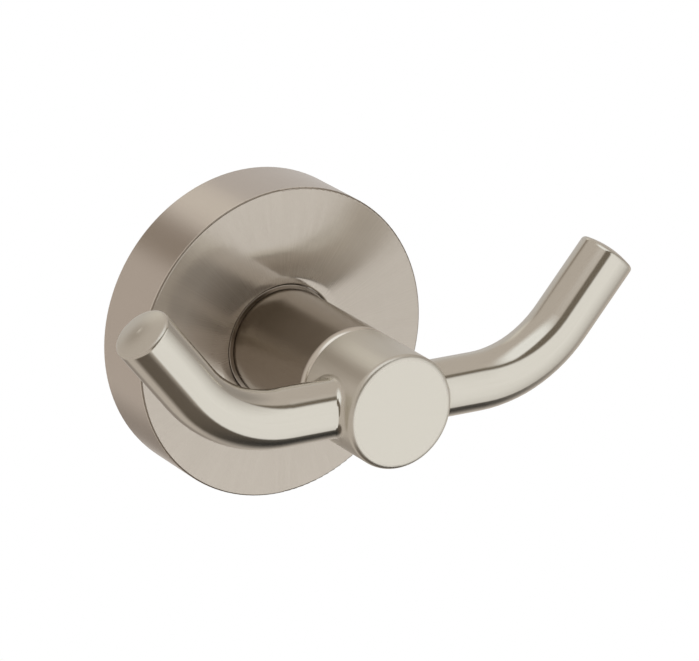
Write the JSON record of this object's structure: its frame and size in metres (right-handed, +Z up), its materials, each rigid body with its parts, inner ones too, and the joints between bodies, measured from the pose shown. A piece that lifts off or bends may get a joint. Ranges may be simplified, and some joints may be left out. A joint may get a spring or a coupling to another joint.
{
  "type": "double robe hook",
  "caption": "Wall-mounted double robe hook in satin nickel: a round escutcheon, a turned post and a round head with upturned rod arms.",
  "frame": {"origin": "centre of the wall face, on the post's axis", "axes": "+X to the right along the arms, +Z up, +Y into the wall, so the hook stands out of the wall towards -Y"},
  "size_m": [0.0948, 0.05, 0.054],
  "materials": {
    "satin_nickel_escutcheon": "satin nickel plate, brushed out from the middle",
    "satin_nickel_post": "satin nickel plate",
    "satin_nickel_hook": "satin nickel plate",
    "zinc_plated_steel": "bright zinc plate",
    "stainless_steel": "plain turned stainless steel"
  },
  "bodies": {
    "root": {"escutcheon": "satin_nickel_escutcheon", "post": "satin_nickel_post", "double_hook": "satin_nickel_hook", "clamp_screw": "zinc_plated_steel", "clamp_washer": "zinc_plated_steel", "wall_bracket": "zinc_plated_steel", "set_screw": "stainless_steel"}
  },
  "joints": []
}
